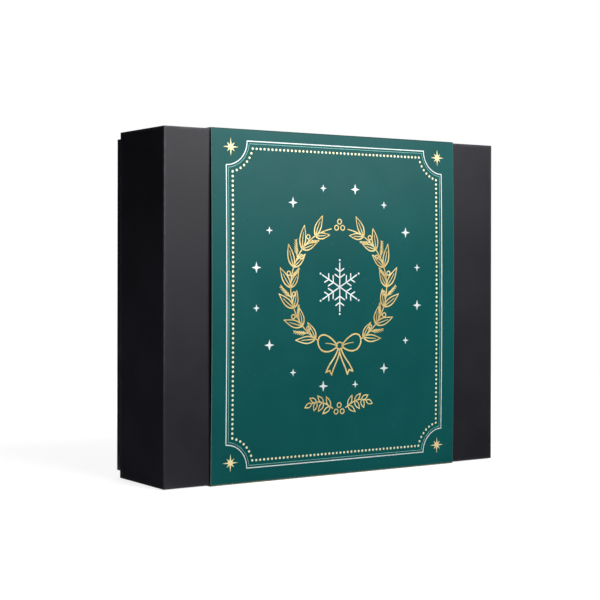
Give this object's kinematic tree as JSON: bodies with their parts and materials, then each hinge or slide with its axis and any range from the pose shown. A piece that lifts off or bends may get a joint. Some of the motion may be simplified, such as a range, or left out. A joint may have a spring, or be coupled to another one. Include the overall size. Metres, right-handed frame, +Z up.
{
  "type": "gift box",
  "caption": "Rigid two-piece gift box standing on its long side: a paper-wrapped lift-off lid over a deeper base, with a printed card band folded round the lid.",
  "frame": {"origin": "on the surface that the box stands on, under the middle of its outline", "axes": "+X along the box's length, to the right seen from the lid; +Y from the lid's front to the base's back; +Z up"},
  "size_m": [0.3, 0.0829, 0.2546],
  "materials": {
    "grey_board": "matte",
    "stay_paper": "matte",
    "black_wrap": "matte",
    "black_lining": "matte",
    "printed_card": "satin"
  },
  "bodies": {
    "base": {"base_board": "grey_board", "base_stay_1": "stay_paper", "base_stay_2": "stay_paper", "base_stay_3": "stay_paper", "base_stay_4": "stay_paper", "base_wrap": "black_wrap", "base_wall_lining": "black_lining", "base_panel_lining": "black_lining"},
    "lid": {"lid_board": "grey_board", "lid_stay_1": "stay_paper", "lid_stay_2": "stay_paper", "lid_stay_3": "stay_paper", "lid_stay_4": "stay_paper", "lid_wrap": "black_wrap", "lid_wall_lining": "black_lining", "lid_panel_lining": "black_lining"},
    "band": {"card_band": "printed_card"}
  },
  "joints": [
    {"name": "lid_lift", "type": "slide", "parent": "base", "child": "lid", "axis": [0, -1, 0], "range_m": [0, 0.09]},
    {"name": "band_slide", "type": "slide", "parent": "lid", "child": "band", "axis": [1, 0, 0], "range_m": [-0.0337, 0.0383]}
  ]
}
